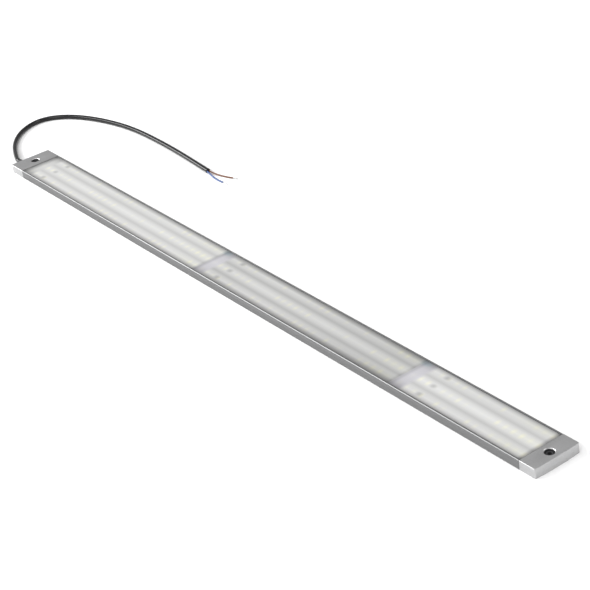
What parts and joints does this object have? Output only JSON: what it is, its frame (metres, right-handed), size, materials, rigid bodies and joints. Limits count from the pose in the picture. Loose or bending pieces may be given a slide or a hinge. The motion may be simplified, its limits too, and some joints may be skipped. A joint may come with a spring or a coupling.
{
  "type": "led light bar",
  "caption": "Slim surface-mounted LED light bar with a frosted cover, an aluminium channel, silver end caps with a mounting hole each, and a supply cable.",
  "frame": {"origin": "middle of the underside, on the mounting surface", "axes": "+X along the bar, away from the cable; +Y across it; +Z out through the frosted cover"},
  "size_m": [1.0043, 0.1648, 0.01],
  "materials": {
    "anodised_aluminium": "extruded, satin natural anodised",
    "frosted_cover": "frosted translucent polycarbonate",
    "silver_cap": "satin silver paint",
    "gasket_rubber": "matte",
    "black_plastic": "matte nylon",
    "zinc_screw": "zinc plated",
    "white_board": "white solder mask",
    "tape": "thermal adhesive tape",
    "led": "phosphor in a white package",
    "chip_black": "moulded epoxy",
    "ivory_plastic": "moulded",
    "socket_plastic": "moulded",
    "brown_insulation": "PVC insulation",
    "blue_insulation": "PVC insulation",
    "black_rubber": "satin moulded",
    "cable_jacket": "glossy PVC jacket",
    "tinned_copper": "tinned strands"
  },
  "bodies": {
    "root": {"housing_profile": "anodised_aluminium", "diffuser_cover": "frosted_cover", "cable_end_cap": "silver_cap", "plain_end_cap": "silver_cap", "gasket_cable_end": "gasket_rubber", "gasket_plain_end": "gasket_rubber", "mounting_bushes": "black_plastic", "cap_fixing_screws": "zinc_screw", "led_board_1": "white_board", "led_board_2": "white_board", "led_board_3": "white_board", "thermal_tapes": "tape", "leds_board_1": "led", "leds_board_2": "led", "leds_board_3": "led", "current_regulators": "chip_black", "series_resistors": "chip_black", "input_terminal": "ivory_plastic", "polarity_diode": "chip_black", "surge_suppressor": "chip_black", "link_sockets": "socket_plastic", "link_wires_positive": "brown_insulation", "link_wires_negative": "blue_insulation", "supply_core_positive": "brown_insulation", "supply_core_negative": "blue_insulation", "cable_tie": "black_plastic", "cable_strain_relief": "black_rubber", "cable_inner_length": "cable_jacket", "power_cable": "cable_jacket", "free_core_positive": "brown_insulation", "free_core_negative": "blue_insulation", "core_tips": "tinned_copper"}
  },
  "joints": []
}
